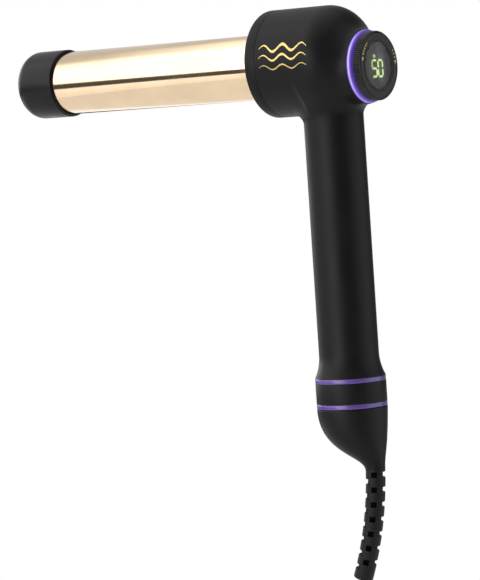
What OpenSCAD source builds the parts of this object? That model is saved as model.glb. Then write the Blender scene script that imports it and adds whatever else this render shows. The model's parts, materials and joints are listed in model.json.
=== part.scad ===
// Right-angle curling iron with a ceramic-coated barrel, a temperature dial and a swivel cord boot.
// Millimetres. X runs along the barrel (tip towards -X), Z up the handle, Y across.
// The origin is on the handle's axis, at the middle of the hand grip.

/* [Barrel] */
// Outside diameter of the heated barrel
barrel_d = 32; // [30:0.5:32.5]
// Length of barrel that shows between the head and the cool tip
barrel_reach = 130; // [110:0.5:160]
// Wall thickness of the barrel tube
barrel_wall = 0.8; // [0.6:0.1:1.2]
// Height of the barrel's axis above the middle of the grip
barrel_z = 85; // [80:0.5:95]

/* [Cool tip] */
// Widest diameter of the cool tip
tip_d = 34.5; // [34:0.1:36]
// Overall length of the cool tip
tip_len = 27; // [24:0.5:34]
// Length of the rounding at the tip's end
tip_round_len = 8.8; // [6:0.1:10]
// Depth of the rounding towards the tip's axis
tip_round_depth = 10.6; // [8:0.1:11]

/* [Head] */
// Outside diameter of the head
head_d = 52.6; // [52:0.1:56]
// Distance from the handle's axis to the head's front face
head_front = 32.6; // [31:0.1:36]
// Width of the nose ring that closes the head's front
nose_w = 6.35; // [4.5:0.05:7]
// Rounding of the nose ring's front edge
nose_round = 0.8; // [0.6:0.1:3]
// Height of the head's axis above the barrel's axis
head_lift = 1; // [0:0.1:1.2]
// Length of the rounded rear of the head
dome_len = 17.3; // [15:0.1:20]
// Wall thickness of the housing shells
shell_wall = 2.4; // [2:0.1:2.6]

/* [Handle] */
// Outside diameter of the handle
handle_d = 29.2; // [29:0.1:32]
// Diameter of the collar at the handle's foot
collar_d = 34.5; // [33:0.1:36]
// Height of the collar's top edge below the middle of the grip
collar_drop = 67.9; // [62:0.1:75]
// Height of each coloured accent ring
accent_h = 2.2; // [1.5:0.1:3]
// Height of the plain band between the accent rings
band_h = 10.2; // [8:0.1:14]

/* [Dial] */
// Outside diameter of the knurled dial ring
dial_d = 33.4; // [33:0.1:34]
// Distance from the handle's axis to the dial's front face
dial_reach = 28.5; // [28:0.1:30]
// Depth of the dial's axis below the barrel's axis
dial_drop = 3.6; // [2:0.1:5]
// Number of ridges around the dial ring
knurl_count = 90; // [40:2:96]
// Outside diameter of the light ring behind the dial
light_d = 35.2; // [35:0.1:36]
// Diameter of the display window
window_d = 22.8; // [22:0.1:24]

/* [Swivel] */
// Length of the boot from the lower accent ring to the strain relief
boot_len = 30.9; // [28:0.1:36]
// Distance from the handle's axis to the strain relief's axis
relief_x = 11.2; // [10:0.1:12]
// Outside diameter of the strain relief
relief_d = 9.6; // [9:0.1:11]
// Radius of the bend that the strain relief is moulded to
relief_bend = 165; // [140:5:250]
// Number of flex windows down each side of the strain relief
relief_windows = 7; // [4:1:7]
// Distance between flex windows on the same side
relief_pitch = 7.2; // [6.5:0.1:8]
// Diameter of the cord that fits the strain relief
cord_d = 6; // [5:0.1:6.4]

/* [Hidden] */
$fn = 96;

eps = 0.5;
slip = 0.05;
gap = 0.2;

barrel_r = barrel_d / 2;
barrel_bore = barrel_r - barrel_wall;
head_r = head_d / 2;
head_z = barrel_z + head_lift;
handle_r = handle_d / 2;
handle_bore = handle_r - shell_wall;
collar_r = collar_d / 2;
dial_r = dial_d / 2;
dial_z = barrel_z - dial_drop;
light_r = light_d / 2;
window_r = window_d / 2;
relief_r = relief_d / 2;
cord_r = cord_d / 2;
relief_bore = cord_r + 0.1;

// The strain relief's bend starts inside the boot, one neck above its shoulder; its windows are
// one pitch apart down each side, and a plain end follows them
neck = 7.4;
neck_r = relief_r - 1.3;
relief_end = 3.5;
bore_len = 6;
bend_x = relief_x + 0.15;
degree = PI * relief_bend / 180;
pitch = relief_pitch / degree;
window = pitch * 0.38;
lead = (neck + 0.25) / degree;
first_window = lead + 0.08;
window_steps = 2 * relief_windows;
sweep = first_window + window_steps * pitch / 2;
skin_end = sweep - (bore_len - relief_end) / degree;
flange = -2;
flange_len = 0.5;
flange_r = 4;

// Stations along X, from the tip to the dial
tip_x = -head_front - barrel_reach;
tip_end = tip_x - tip_len;
barrel_front = tip_x - 3.4;
barrel_back = -13;
heater_front = tip_x + 12;
heater_back = -40;
seam_x = -head_front + nose_w;
dome_x = 1.2;
pad_x = dial_reach - 7;
light_x = pad_x - 3;
carrier_x = 6;

// Stations along Z, from the collar to the cord
ring1_z = -collar_drop;
band_z = ring1_z - accent_h;
ring2_z = band_z - band_h;
foot_z = ring2_z - accent_h;
boot_z = foot_z - gap;
relief_z = boot_z - boot_len;
bend_z = relief_z + neck;
grip_flare = 11;

spigot_r = handle_bore - 0.1;
core_r = 5;
core_bore = cord_r + 0.2;
core_top = ring1_z + 22;
clip_z = ring1_z + 8;

screw_r = 1.28;
screw_sites = [[-5, -42], [-5, 3], [-5, 44], [-4, barrel_z + 19.5]];

tip_colour = [0.13, 0.13, 0.14];
gold = [0.86, 0.68, 0.44];
black = [0.12, 0.12, 0.13];
purple = [0.42, 0.32, 0.66];
brass = [0.78, 0.62, 0.30];
steel = [0.72, 0.73, 0.75];
green_board = [0.10, 0.35, 0.20];

// A ring or disc about an axis along X, at height z
module ring_x(x0, x1, r_out, r_in = 0, z = 0) {
    translate([x0, 0, z]) rotate([0, 90, 0]) difference() {
        cylinder(h = x1 - x0, r = r_out);
        if (r_in > 0) translate([0, 0, -eps]) cylinder(h = x1 - x0 + 2 * eps, r = r_in);
    }
}

// A ring or disc about the handle's axis
module ring_z(z0, z1, r_out, r_in = 0) {
    translate([0, 0, z0]) difference() {
        cylinder(h = z1 - z0, r = r_out);
        if (r_in > 0) translate([0, 0, -eps]) cylinder(h = z1 - z0 + 2 * eps, r = r_in);
    }
}

// A solid turned about an axis along X, from [radius, x] points
module turned_x(points, z = 0) {
    translate([0, 0, z]) rotate([0, 90, 0]) rotate_extrude() polygon(points);
}

// A box from its low and high corners
module box(low, high) {
    translate(low) cube(high - low);
}

// A quarter of an ellipse as [radius, x] points, from the rim to the axis side
function quarter(rim, depth, x0, length, steps = 9) =
    [for (i = [0 : steps]) let (a = 90 * i / steps)
        [rim - depth * (1 - cos(a)), x0 + length * sin(a)]];

// ---- Barrel, heater and tip ----

module barrel() {
    color(gold) difference() {
        ring_x(barrel_front, barrel_back, barrel_r, barrel_bore, barrel_z);
        rivet_holes(0.05);
    }
}

module rivet_holes(play) {
    translate([-18, 0, barrel_z]) rotate([90, 0, 0])
        cylinder(h = 2 * barrel_r + 20, r = 1.3 + play, center = true, $fn = 24);
}

module barrel_rivets() {
    color(steel) difference() {
        rivet_holes(0);
        ring_x(barrel_front, barrel_back, barrel_bore - 0.6, 0, barrel_z);
        ring_x(-24, -12, head_r + 10, barrel_r + 3.6, barrel_z);
    }
}

module cool_tip() {
    hub_r = 4;
    end_x = -(tip_len - tip_round_len);
    color(tip_colour) difference() {
        translate([tip_x, 0, 0]) turned_x(concat(
            [[0, 0], [tip_d / 2 - 0.8, 0], [tip_d / 2, -1]],
            quarter(tip_d / 2, tip_round_depth, end_x, -tip_round_len),
            [[0, -tip_len]]), barrel_z);
        ring_x(barrel_front - 0.1, tip_x + eps, barrel_r + 0.03, 0, barrel_z);
        ring_x(tip_end + 4, barrel_front, barrel_r - 4, hub_r, barrel_z);
        ring_x(tip_x - 14, barrel_front, 1.3, 0, barrel_z);
    }
}

module tip_plug() {
    color(steel) difference() {
        ring_x(barrel_front, tip_x + 4.4, barrel_bore - slip, 1.5, barrel_z);
        ring_x(tip_x + 2.4, tip_x + 5, 3, 0, barrel_z);
    }
}

module tip_screw() {
    color(steel) {
        ring_x(tip_x + 2.4, tip_x + 4.2, 2.8, 0, barrel_z);
        ring_x(tip_x - 13, tip_x + 2.5, screw_r, 0, barrel_z);
    }
}

module heater_plate() {
    color("white") box([heater_front, -7, barrel_z - 1.5], [heater_back, 7, barrel_z + 1.5]);
}

// One half of the aluminium block that carries heat to the barrel's wall
module spreader(side) {
    difference() {
        ring_x(heater_front - 6, heater_back - 1, barrel_bore - slip, 0, barrel_z);
        box([tip_x, -20, barrel_z + (side > 0 ? -20 : -1.6)], [0, 20, barrel_z + (side > 0 ? 1.6 : 20)]);
        ring_x(heater_back - 16, heater_back, 2 * 0.9, 0, barrel_z + side * 9);
        for (y = [-7, 7]) translate([0, y, 0]) ring_x(tip_x, 0, 1.6, 0, barrel_z + side * 7);
    }
}

module spreader_upper() {
    color(steel) spreader(1);
}

module spreader_lower() {
    color(steel) spreader(-1);
}

module spreader_springs() {
    color(brass) for (side = [-1, 1])
        translate([heater_front, side * 10.5 - 2.5, barrel_z - 0.5])
            cube([heater_back - 10 - heater_front, 5, 1]);
}

module thermistor() {
    color("white") ring_x(heater_back - 12, heater_back - 4, 1.2, 0, barrel_z + 9);
}

module thermal_fuse() {
    color(steel) ring_x(heater_back - 14, heater_back - 3, 1.6, 0, barrel_z - 9);
}

module sensor_lead() {
    color("red") ring_x(heater_back - 4, 1.9, 0.5, 0, barrel_z + 9);
}

module barrel_holder() {
    color("ivory") difference() {
        union() {
            ring_x(-24, barrel_back, barrel_r + 4, barrel_r + 0.03, barrel_z);
            ring_x(barrel_back, barrel_back + 1.8, barrel_r + 4, 12, barrel_z);
        }
        rivet_holes(0.05);
    }
}

module heat_shield() {
    color("beige") difference() {
        ring_x(-10, -9, 20, 0, barrel_z);
        for (y = [-4, 4]) translate([0, y, 0]) ring_x(-11, -8, 1.6, 0, barrel_z);
        ring_x(-11, -8, 1, 0, barrel_z + 9);
    }
}

// ---- Housing ----

module nose_ring() {
    color(black) difference() {
        union() {
            turned_x(concat([[0, seam_x], [head_r, seam_x]],
                quarter(head_r, nose_round, -head_front + nose_round, -nose_round),
                [[0, -head_front]]), head_z);
            ring_x(seam_x, seam_x + 2.8, head_r - shell_wall - 0.1, 21.2, head_z);
        }
        ring_x(-head_front - 1, 0, barrel_r + 0.5, 0, barrel_z);
        ring_x(-head_front + 2.4, 0, barrel_r + 3.4, 0, barrel_z);
    }
}

// The head, handle and dial pad as one closed form, smaller all round by inset
module housing_form(inset) {
    dome_end = 6.6;
    ring_x(seam_x - (inset > 0 ? 1 : 0), dome_x, head_r - inset, 0, head_z);
    turned_x(concat([[0, dome_x - 0.1], [head_r - inset, dome_x - 0.1]],
        quarter(head_r - inset, head_r - dome_end, dome_x, dome_len - inset / 2),
        [[0, dome_x + dome_len - inset / 2]]), head_z);
    ring_z(ring1_z + (inset > 0 ? -1 : 0), head_z, handle_r - inset);
    if (inset == 0) translate([0, 0, ring1_z]) rotate_extrude() polygon(concat([[0, 0], [collar_r, 0]],
        [for (i = [0 : 8]) let (t = i / 8)
            [handle_r + (collar_r - handle_r) * pow(1 - t, 2), grip_flare * t]], [[0, grip_flare]]));
    if (inset == 0) turned_x([[0, 0], [head_r - 5, 0], [19.4, 14], [18.2, pad_x - 2], [17.9, pad_x],
        [0, pad_x]], dial_z);
}

module housing_shell() {
    difference() {
        housing_form(0);
        housing_form(shell_wall);
        ring_x(0, light_x + 0.1, 17, 0, dial_z);
        ring_x(0, pad_x + 1, 16.2, 0, dial_z);
    }
    for (x = [-22, -15.5, -9.8]) difference() {
        ring_x(x, x + 1.4, head_r - shell_wall + 0.1, 0, head_z);
        ring_x(x - 1, x + 3, 20.05, 0, barrel_z);
    }
}

// Material on one side of the shells' split plane: -1 is the left shell, 1 the right
module half_space(side) {
    box([-60, side > 0 ? 0 : -60, -120], [60, side > 0 ? 60 : 0, 140]);
}

module screw_bosses(side) {
    intersection() {
        half_space(side);
        housing_form(1);
        for (s = screw_sites) translate([s[0], 0, s[1]]) rotate([90, 0, 0])
            cylinder(h = 60, r = 3, center = true, $fn = 32);
    }
}

module left_shell() {
    color(black) difference() {
        union() {
            intersection() {
                housing_shell();
                half_space(-1);
            }
            screw_bosses(-1);
        }
        for (s = screw_sites) translate([s[0], 0, s[1]]) rotate([90, 0, 0])
            translate([0, 0, -1]) cylinder(h = 9, r = 1.3, $fn = 24);
    }
}

module right_shell() {
    color(black) difference() {
        union() {
            intersection() {
                housing_shell();
                half_space(1);
            }
            screw_bosses(1);
        }
        for (s = screw_sites) translate([s[0], 0, s[1]]) rotate([-90, 0, 0]) {
            translate([0, 0, -1]) cylinder(h = 40, r = 1.5, $fn = 24);
            translate([0, 0, 6]) cylinder(h = 40, r = 2.8, $fn = 32);
        }
    }
}

module housing_screws() {
    color(steel) for (s = screw_sites) translate([s[0], 0, s[1]]) rotate([-90, 0, 0]) difference() {
        union() {
            translate([0, 0, -7.5]) cylinder(h = 14, r = screw_r, $fn = 24);
            translate([0, 0, 6.05]) cylinder(h = 2, r = 2.5, $fn = 32);
        }
        for (turn = [0, 90]) rotate([0, 0, turn]) box([-1.6, -0.35, 7.1], [1.6, 0.35, 9]);
    }
}

// ---- Dial and display ----

module light_ring() {
    color(purple) turned_x([[13.8, light_x - 1.3], [16.9, light_x - 1.3], [16.9, light_x],
        [16.15, light_x + 0.1], [16.15, pad_x], [light_r, pad_x], [light_r, pad_x + 1.4],
        [light_r - 0.8, pad_x + 2.3], [13.8, pad_x + 2.3]], dial_z);
}

module led_board() {
    color(green_board) ring_x(15.4, 16.2, 16.9, 13.8, dial_z);
}

module indicator_leds() {
    color("white") for (i = [0 : 7]) translate([0, 0, dial_z]) rotate([45 * i, 0, 0])
        box([16.2, -1, 14.6], [17.1, 1, 16]);
}

// A wheel section with count ridges between two radii
module ridged(count, r_low, r_high) {
    polygon([for (i = [0 : 2 * count - 1]) let (a = 180 * i / count, r = i % 2 == 0 ? r_high : r_low)
        [r * cos(a), r * sin(a)]]);
}

module dial_ring() {
    rim_x = dial_reach - 4.4;
    color(black) difference() {
        union() {
            translate([rim_x, 0, dial_z]) rotate([0, 90, 0])
                linear_extrude(height = 4.2) ridged(knurl_count, dial_r - 0.35, dial_r);
            ring_x(13.5, rim_x + 0.1, 13.5, 0, dial_z);
        }
        ring_x(13, dial_reach + 1, 12.65, 0, dial_z);
        ring_x(rim_x + 1.4, dial_reach + 1, 16.0, 0, dial_z);
    }
}

module encoder_rotor() {
    color("dimgray") translate([11, 0, dial_z]) rotate([0, 90, 0]) difference() {
        linear_extrude(height = 2.5) ridged(30, 15.4, 16.3);
        translate([0, 0, -eps]) cylinder(h = 4, r = 12.65);
    }
}

module detent_spring() {
    color(brass) difference() {
        box([8, -5, dial_z + 14.5], [10.7, 5, dial_z + 15.2]);
        box([9, -3, dial_z + 14], [9.8, 3, dial_z + 16]);
    }
}

module encoder_sensor() {
    color("black") box([8, -3, dial_z - 16], [10.5, 3, dial_z - 13.2]);
}

module dial_carrier() {
    color("dimgray") difference() {
        union() {
            ring_x(carrier_x, carrier_x + 2, 16.8, 0, dial_z);
            ring_x(carrier_x + 2, dial_reach - 2.7, 12.6, 0, dial_z);
        }
        ring_x(carrier_x - 1, dial_reach, 11.6, 0, dial_z);
    }
}

module dial_face() {
    color(black) turned_x([[window_r, dial_reach - 2.7], [15.8, dial_reach - 2.7], [15.8, dial_reach - 0.4],
        [15.4, dial_reach], [window_r + 0.3, dial_reach], [window_r, dial_reach - 0.3]], dial_z);
}

module display_lens() {
    color([0.1, 0.1, 0.12, 0.6]) ring_x(dial_reach - 1.2, dial_reach - 0.3, window_r - slip, 0, dial_z);
}

module display_module() {
    color("dimgray") ring_x(dial_reach - 4.5, dial_reach - 1.3, window_r - 0.1, 0, dial_z);
}

module display_ribbon() {
    color("orange") box([3.6, -5, dial_z - 0.2], [dial_reach - 4.5, 5, dial_z + 0.2]);
}

module control_board() {
    color(green_board) box([2, -14, dial_z - 14], [3.6, 14, dial_z + 14]);
}

module controller_chip() {
    color("black") box([3.6, -4, dial_z + 3], [5, 4, dial_z + 11]);
}

// ---- Power electronics in the handle ----

module power_board() {
    color(green_board) box([6, -9, -36], [7.6, 9, 46]);
}

module terminal_block() {
    color("seagreen") box([-1, -6, 35], [6, 6, 44]);
}

module triac() {
    color("black") difference() {
        box([1.5, -5, 16], [6, 5, 30]);
        translate([0, 0, 27.5]) rotate([0, 90, 0]) cylinder(h = 10, r = 1.6, $fn = 32);
    }
}

module transformer() {
    color("gold") box([-1, -7, -12], [6, 7, 2]);
}

module capacitor() {
    color("navy") translate([1.5, 3.5, -32]) cylinder(h = 16, r = 4.4);
}

module glass_fuse() {
    color(steel) translate([3.2, -5, -34]) cylinder(h = 20, r = 2.6);
}

// Two insulated wires from the terminal block, up the handle and into the barrel
module heater_leads() {
    wire_r = 1.1;
    bend = 6;
    color("red") for (y = [-4, 4]) translate([0, y, 0]) {
        translate([0.5, 0, 44]) cylinder(h = barrel_z - bend - 44, r = wire_r, $fn = 24);
        translate([0.5 - bend, 0, barrel_z - bend]) rotate([90, 0, 0])
            rotate_extrude(angle = 90, $fn = 48) translate([bend, 0]) circle(r = wire_r, $fn = 24);
        translate([heater_back, 0, barrel_z]) rotate([0, 90, 0])
            cylinder(h = -heater_back + 0.5 - bend, r = wire_r, $fn = 24);
    }
}

module supply_leads() {
    color("blue") for (y = [-6.5, 6.5])
        translate([4.8, y, core_top - 0.5]) cylinder(h = 10, r = 0.8, $fn = 24);
}

// ---- Collar and swivel ----

module accent_ring(z0) {
    translate([0, 0, z0]) rotate_extrude() polygon([[spigot_r + 0.1, 0], [collar_r - 0.35, 0],
        [collar_r - 0.05, 0.3], [collar_r - 0.05, accent_h - 0.3], [collar_r - 0.35, accent_h],
        [spigot_r + 0.1, accent_h]]);
}

module accent_ring_upper() {
    color(purple) accent_ring(band_z);
}

module accent_ring_lower() {
    color(purple) accent_ring(foot_z);
}

module handle_collar() {
    color(black) difference() {
        union() {
            ring_z(ring2_z, band_z, collar_r);
            ring_z(foot_z + 0.1, clip_z - gap, spigot_r);
        }
        ring_z(foot_z - 1, clip_z + 1, core_r + slip);
        ring_z(band_z, clip_z + 1, spigot_r - 2, core_r + 2.5);
    }
}

module brush_holder() {
    color("ivory") difference() {
        ring_z(clip_z + 3, core_top - 0.6, spigot_r - 0.1, 7.6);
        brush_sockets(0.1);
    }
}

// Places for the two brushes, on opposite sides and one above the other
module brush_sockets(play) {
    for (side = [-1, 1]) translate([0, side * 9.1, core_top - 6.3 + side * 3.1])
        cube([3 + 2 * play, 5.2, 1.8 + 2 * play], center = true);
}

module contact_brushes() {
    color(brass) brush_sockets(0);
}

module contact_rings() {
    color(brass) for (side = [-1, 1]) {
        z = core_top - 6.3 + side * 3.1;
        ring_z(z - 1.3, z + 1.3, core_r + 1.3, core_r);
    }
}

module swivel_core() {
    color("dimgray") difference() {
        union() {
            ring_z(boot_z - 6, core_top - 0.6, core_r);
            ring_z(boot_z - 3, boot_z - 0.2, 14.4);
        }
        ring_z(boot_z - 7, core_top, core_bore);
        ring_z(clip_z - 0.05, clip_z + 1.05, core_r + 1, 4.2);
    }
}

module swivel_retainer() {
    color(steel) difference() {
        ring_z(clip_z, clip_z + 1, 8, 4.2);
        box([0, -2.5, clip_z - 1], [9, 2.5, clip_z + 2]);
    }
}

// The boot's edges in the XZ plane: the inner side swings across in an S, the outer side is nearly straight
function bezier(a, b, c, d, t) =
    a * pow(1 - t, 3) + 3 * b * t * pow(1 - t, 2) + 3 * c * t * t * (1 - t) + d * pow(t, 3);
function boot_drop(t) = bezier(0, 0.723, 0.755, 1, t) * boot_len;
function boot_inner(t) = bezier(-collar_r, -collar_r, relief_x - relief_r, relief_x - relief_r, t);
function boot_outer(t) = relief_x + relief_r + (collar_r - relief_x - relief_r) * pow(1 - t, 3);

// The boot as a stack of circles between its two edges, thinner by inset, down to t_end
module boot_form(inset, t_end, rings = 20, sides = 64) {
    points = [for (i = [0 : rings]) let (t = t_end * i / rings,
            mid = (boot_inner(t) + boot_outer(t)) / 2, r = (boot_outer(t) - boot_inner(t)) / 2 - inset)
        for (k = [0 : sides - 1]) let (a = 360 * k / sides) [mid + r * cos(a), r * sin(a), -boot_drop(t)]];
    walls = [for (i = [0 : rings - 1]) for (k = [0 : sides - 1]) let (n = (k + 1) % sides)
        [i * sides + k, i * sides + n, (i + 1) * sides + n, (i + 1) * sides + k]];
    translate([0, 0, boot_z]) polyhedron(points = points, convexity = 4, faces = concat(walls,
        [[for (k = [sides - 1 : -1 : 0]) k]], [[for (k = [0 : sides - 1]) rings * sides + k]]));
}

module swivel_boot() {
    color(black) difference() {
        boot_form(0, 1);
        translate([0, 0, 0.01]) boot_form(2.5, 0.7, 10, 48);
        translate([relief_x, 0, relief_z - 1]) cylinder(h = 14, r = neck_r + gap);
        translate([bend_x, 0, bend_z - (flange + flange_len) * degree - 0.3])
            cylinder(h = 4, r = flange_r + gap);
    }
}

// A point of the strain relief: turned by bend_angle along the bend, or further on in a straight line
function on_bend(bend_angle, r, phi, further = 0) =
    let (arm = relief_bend + r * cos(phi))
    [bend_x - relief_bend + arm * cos(bend_angle) - further * sin(bend_angle),
        r * sin(phi),
        bend_z - arm * sin(bend_angle) - further * cos(bend_angle)];

// Radius at phi in a section with a flex window on its outer (1) or inner (-1) side, or with none (0)
function relief_wall(side, phi) = side * cos(phi) > 0.2 ? relief_r - 1.2 : relief_r;

// One closed form: flange, neck in the boot, windowed bend and plain end, hollow down to the end's bore
module relief_form(sides = 36, inner_rings = 10) {
    step = 0.03;
    stations = [flange, flange + flange_len, flange + flange_len + step, lead - step, lead, first_window];
    radii = [flange_r, flange_r, neck_r, neck_r, relief_r, relief_r];
    turns = [for (k = [0 : sides - 1]) 360 * k / sides];
    windows = [for (k = [0 : window_steps - 1])
        let (a = first_window + k * pitch / 2, side = k % 2 == 0 ? 1 : -1)
        for (s = [[a + step, side], [a + window, side], [a + window + step, 0], [a + pitch / 2, 0]]) s];
    outer = len(radii) + len(windows) + 1;
    points = concat(
        [for (i = [0 : len(radii) - 1]) for (phi = turns) on_bend(stations[i], radii[i], phi)],
        [for (s = windows) for (phi = turns) on_bend(s[0], relief_wall(s[1], phi), phi)],
        [for (phi = turns) on_bend(sweep, relief_r, phi, relief_end)],
        [for (i = [0 : inner_rings]) for (phi = turns)
            on_bend(flange + (skin_end - flange) * i / inner_rings, relief_bore + 0.3, phi)]);
    function id(ring, k) = ring * sides + k % sides;
    skin = [for (i = [0 : outer - 2]) for (k = [0 : sides - 1])
        [id(i, k), id(i, k + 1), id(i + 1, k + 1), id(i + 1, k)]];
    bore = [for (i = [outer : outer + inner_rings - 1]) for (k = [0 : sides - 1])
        [id(i, k), id(i + 1, k), id(i + 1, k + 1), id(i, k + 1)]];
    mouth = [for (k = [0 : sides - 1]) [id(0, k + 1), id(0, k), id(outer, k), id(outer, k + 1)]];
    closed = [[for (k = [0 : sides - 1]) id(outer - 1, k)],
        [for (k = [sides - 1 : -1 : 0]) id(outer + inner_rings, k)]];
    polyhedron(points = points, faces = concat(skin, bore, mouth, closed), convexity = 8);
}

module strain_relief() {
    end_at = on_bend(sweep, 0, 0);
    color(black) difference() {
        relief_form();
        translate(end_at) rotate([0, sweep, 0]) translate([0, 0, -relief_end - eps])
            cylinder(h = bore_len + 2 * eps, r = relief_bore);
    }
}

cool_tip();
tip_plug();
tip_screw();
barrel();
heater_plate();
spreader_upper();
spreader_lower();
spreader_springs();
thermistor();
thermal_fuse();
sensor_lead();
barrel_holder();
barrel_rivets();
heat_shield();
nose_ring();
left_shell();
right_shell();
housing_screws();
light_ring();
led_board();
indicator_leds();
dial_ring();
encoder_rotor();
detent_spring();
encoder_sensor();
dial_carrier();
dial_face();
display_lens();
display_module();
display_ribbon();
control_board();
controller_chip();
power_board();
terminal_block();
triac();
transformer();
capacitor();
glass_fuse();
heater_leads();
supply_leads();
accent_ring_upper();
handle_collar();
accent_ring_lower();
brush_holder();
contact_brushes();
contact_rings();
swivel_core();
swivel_retainer();
swivel_boot();
strain_relief();
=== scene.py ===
"""The curling iron's finished look: smooth shells, dial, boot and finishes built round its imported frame."""
import json
import math

import bmesh
import bpy
import numpy as np
from bpy.props import FloatProperty, FloatVectorProperty, IntProperty, PointerProperty, StringProperty
from mathutils import Matrix, Vector


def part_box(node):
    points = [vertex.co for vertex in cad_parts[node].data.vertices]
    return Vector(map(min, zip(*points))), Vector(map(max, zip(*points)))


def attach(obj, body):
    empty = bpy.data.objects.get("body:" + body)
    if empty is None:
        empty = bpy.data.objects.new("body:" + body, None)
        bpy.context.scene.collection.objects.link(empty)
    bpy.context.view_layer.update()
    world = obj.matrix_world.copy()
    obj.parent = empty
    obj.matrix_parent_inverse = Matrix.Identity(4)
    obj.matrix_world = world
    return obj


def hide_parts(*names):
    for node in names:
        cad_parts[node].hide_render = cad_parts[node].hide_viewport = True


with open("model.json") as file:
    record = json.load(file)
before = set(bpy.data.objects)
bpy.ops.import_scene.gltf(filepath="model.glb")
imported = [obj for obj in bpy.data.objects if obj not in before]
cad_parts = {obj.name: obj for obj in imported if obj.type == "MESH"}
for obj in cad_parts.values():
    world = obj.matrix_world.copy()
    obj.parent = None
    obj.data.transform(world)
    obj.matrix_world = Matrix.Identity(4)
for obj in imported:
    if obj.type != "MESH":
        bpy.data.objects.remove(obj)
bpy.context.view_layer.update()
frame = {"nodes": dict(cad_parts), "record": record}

bl_info = {
    "name": "Curling Iron",
    "version": (1, 0, 0),
    "blender": (4, 5, 0),
    "location": "View3D > Sidebar > Curling Iron",
    "description": "Builds the visible pieces of a right-angle curling iron round its frame",
    "category": "Object",
}

MM = 0.001
SIDES = 128
BOXES = {name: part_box(name) for name in frame["nodes"]}


def box(node):
    """Lowest and highest corner of a node."""
    return BOXES[node]


def middle(node):
    """The middle of a node's box."""
    low, high = box(node)
    return (low + high) / 2


def radius_across(node):
    """Half a node's width across the split plane."""
    low, high = box(node)
    return (high.y - low.y) / 2


# ---- Settings ----


class CurlingIronHousing(bpy.types.PropertyGroup):
    """Sizes of the head, the handle and the pad that carries the dial."""

    handle_radius: FloatProperty(
        name="Handle radius", description="Radius of the straight part of the handle",
        default=14.6 * MM, unit="LENGTH", precision=4)
    flare_height: FloatProperty(
        name="Flare height", description="Height over which the handle widens to the collar",
        default=11 * MM, unit="LENGTH", precision=4)
    dome_start: FloatProperty(
        name="Dome start", description="Where the head's rear rounding starts, from the handle's axis",
        default=1.2 * MM, unit="LENGTH", precision=4)
    dome_length: FloatProperty(
        name="Dome length", description="Length of the head's rear rounding",
        default=17.3 * MM, unit="LENGTH", precision=4)
    dome_flat: FloatProperty(
        name="Dome flat", description="Radius of the flat at the end of the rear rounding",
        default=6.6 * MM, unit="LENGTH", precision=4)
    pad_rim: FloatProperty(
        name="Pad rim", description="Radius of the dial pad at the light ring",
        default=17.9 * MM, unit="LENGTH", precision=4)
    pad_root: FloatProperty(
        name="Pad root", description="Radius of the dial pad at the handle's axis",
        default=21.3 * MM, unit="LENGTH", precision=4)
    corner: FloatProperty(
        name="Corner", description="Radius of the inside corner between the head and the handle",
        default=5.5 * MM, unit="LENGTH", precision=4)
    pad_corner: FloatProperty(
        name="Pad corner", description="Radius of the inside corner round the dial pad",
        default=4.5 * MM, unit="LENGTH", precision=4)
    wall: FloatProperty(
        name="Wall", description="Thickness of the shells", default=2.2 * MM, unit="LENGTH", precision=4)
    grain: FloatProperty(
        name="Mesh size", description="Length of a mesh face on the shells",
        default=0.95 * MM, unit="LENGTH", precision=5)


class CurlingIronDial(bpy.types.PropertyGroup):
    """The knurled ring, the display and its reading."""

    ridges: IntProperty(
        name="Ridges", description="Number of ridges round the dial ring", default=90, min=40, max=96)
    ridge_depth: FloatProperty(
        name="Ridge depth", description="Depth of the grooves between ridges",
        default=0.55 * MM, unit="LENGTH", precision=5)
    reading: StringProperty(
        name="Reading", description="Number that the display shows", default="450")
    digit_height: FloatProperty(
        name="Digit height", description="Height of the display's digits",
        default=7.6 * MM, unit="LENGTH", precision=4)
    digit_pitch: FloatProperty(
        name="Digit pitch", description="Distance from one digit to the next",
        default=4.7 * MM, unit="LENGTH", precision=4)


class CurlingIronBoot(bpy.types.PropertyGroup):
    """The swivel boot and the strain relief below it."""

    relief_offset: FloatProperty(
        name="Relief offset", description="Distance of the strain relief from the handle's axis",
        default=11.2 * MM, unit="LENGTH", precision=4)
    relief_radius: FloatProperty(
        name="Relief radius", description="Outside radius of the strain relief",
        default=4.8 * MM, unit="LENGTH", precision=4)
    bend_radius: FloatProperty(
        name="Bend radius", description="Radius of the strain relief's bend",
        default=165 * MM, unit="LENGTH", precision=4)
    window_depth: FloatProperty(
        name="Window depth", description="Depth of the strain relief's flex windows",
        default=1.45 * MM, unit="LENGTH", precision=4)


class CurlingIronColours(bpy.types.PropertyGroup):
    """Colours of the visible finishes."""

    soft_black: FloatVectorProperty(
        name="Soft black", description="Soft-touch coating", subtype="COLOR", size=3,
        default=(0.0050, 0.0050, 0.0056), min=0, max=1)
    gold: FloatVectorProperty(
        name="Barrel gold", description="Barrel coating", subtype="COLOR", size=3,
        default=(0.88, 0.68, 0.46), min=0, max=1)
    purple: FloatVectorProperty(
        name="Accent purple", description="Accent rings", subtype="COLOR", size=3,
        default=(0.10, 0.055, 0.27), min=0, max=1)
    glow: FloatVectorProperty(
        name="Ring glow", description="Light from the ring behind the dial", subtype="COLOR", size=3,
        default=(0.20, 0.09, 0.80), min=0, max=1)
    digits: FloatVectorProperty(
        name="Digits", description="Light of the display's digits", subtype="COLOR", size=3,
        default=(0.50, 0.68, 0.22), min=0, max=1)
    print_gold: FloatVectorProperty(
        name="Print gold", description="Printed ornament and dial marks", subtype="COLOR", size=3,
        default=(0.62, 0.46, 0.16), min=0, max=1)


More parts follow.
